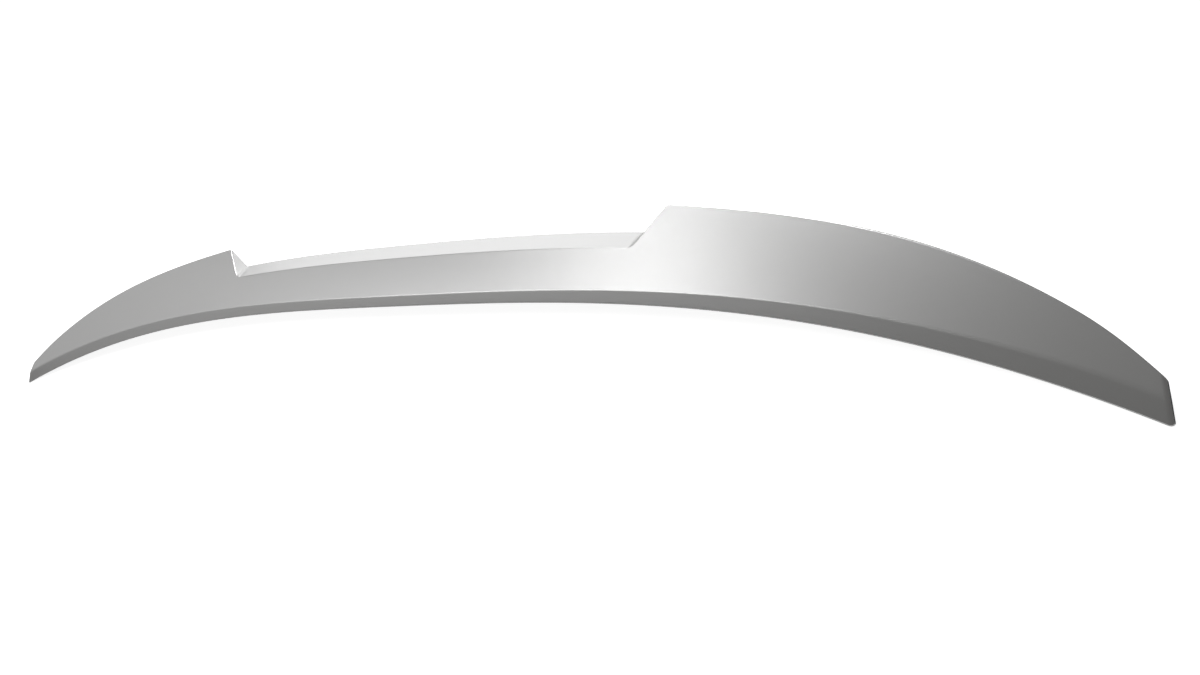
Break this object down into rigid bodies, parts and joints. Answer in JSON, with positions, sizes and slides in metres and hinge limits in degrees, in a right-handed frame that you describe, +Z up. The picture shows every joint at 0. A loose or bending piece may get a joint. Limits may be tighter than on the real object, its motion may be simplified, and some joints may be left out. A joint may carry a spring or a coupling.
{
  "type": "car rear spoiler",
  "caption": "Low boot-lid spoiler with raised wings, a cut-down middle and a bevelled front edge; bonded on with foam tape.",
  "frame": {"origin": "middle of the front bonding edge, on the boot lid's surface", "axes": "+X to the right of the car seen from behind, +Y to the rear, +Z up"},
  "size_m": [1.18, 0.1464, 0.0444],
  "materials": {
    "painted_shell": "satin silver-grey paint on moulded plastic",
    "foam_tape": "dark grey acrylic foam"
  },
  "bodies": {
    "root": {"spoiler_body": "painted_shell", "front_tape": "foam_tape", "rear_tape": "foam_tape"}
  },
  "joints": []
}
